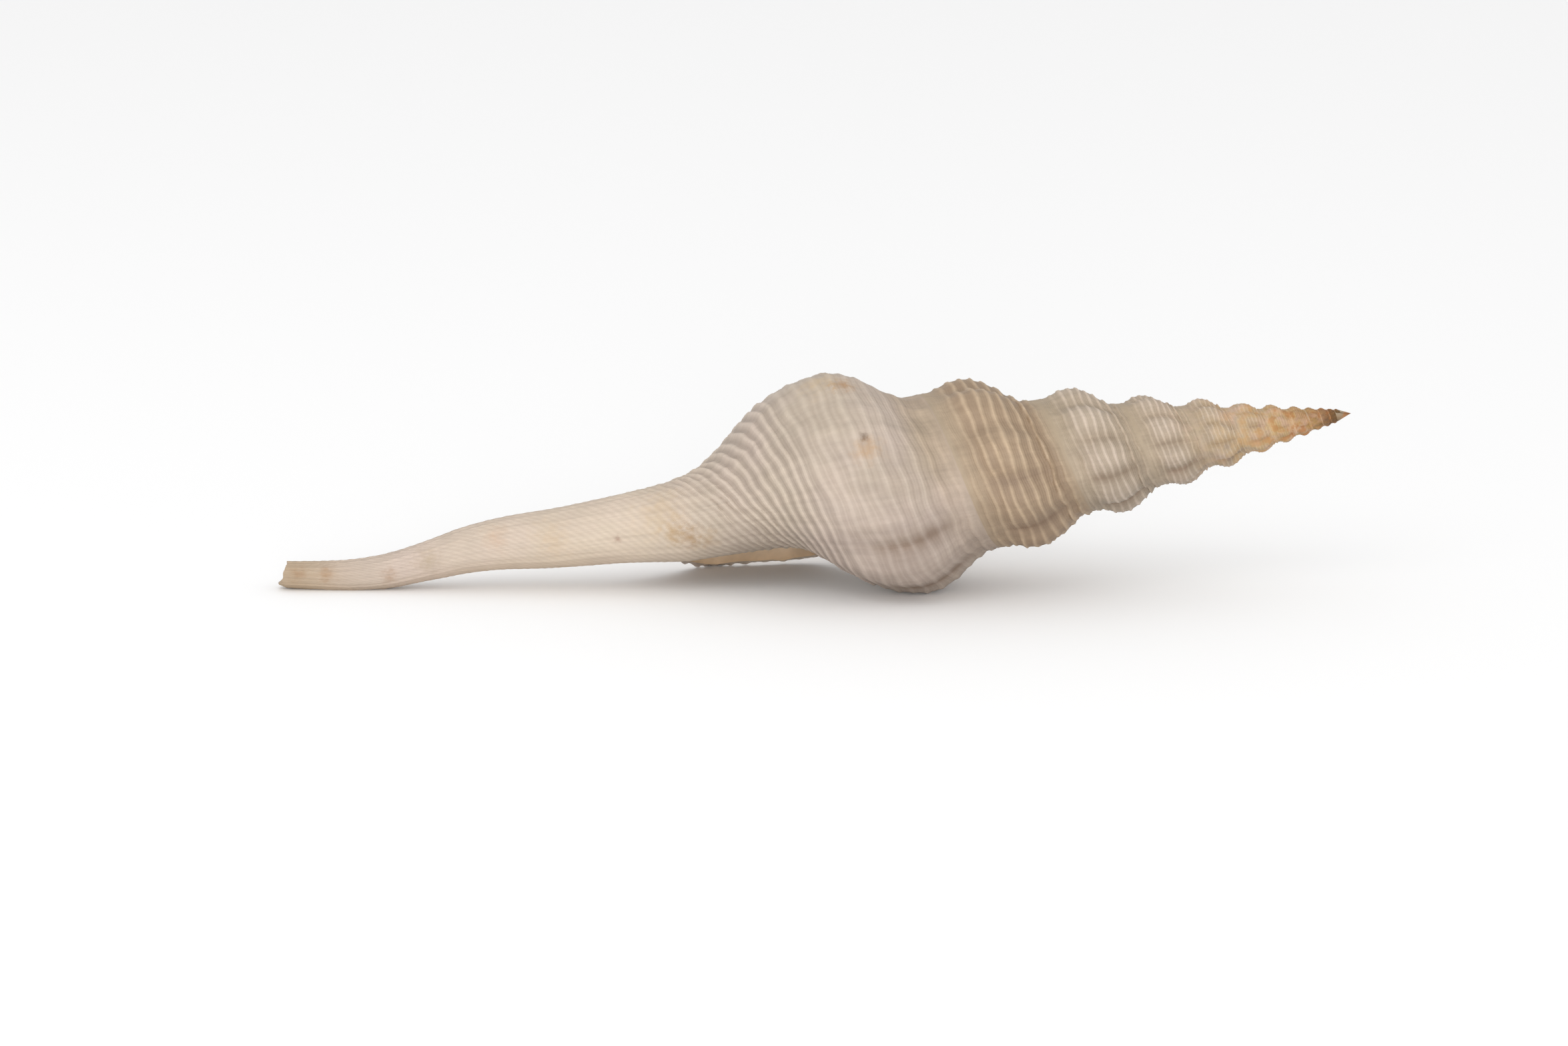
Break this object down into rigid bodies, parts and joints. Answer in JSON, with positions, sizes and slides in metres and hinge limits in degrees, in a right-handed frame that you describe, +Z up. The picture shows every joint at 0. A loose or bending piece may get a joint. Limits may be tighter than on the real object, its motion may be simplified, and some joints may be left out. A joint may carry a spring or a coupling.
{
  "type": "spindle shell",
  "caption": "Slender spindle-shaped sea shell with a tall corded spire, a round body whorl, an open mouth and a long straight canal, lying on its side.",
  "frame": {"origin": "on the surface that the shell lies on, under the middle of the shell's box", "axes": "+X towards the apex of the spire, -X towards the tip of the canal, +Y away from the side that the picture shows, +Z up"},
  "size_m": [0.1496, 0.035, 0.0307],
  "materials": {
    "shell": "matte chalky ivory shell with tan and brown stains"
  },
  "bodies": {
    "root": {"shell": "shell"}
  },
  "joints": []
}
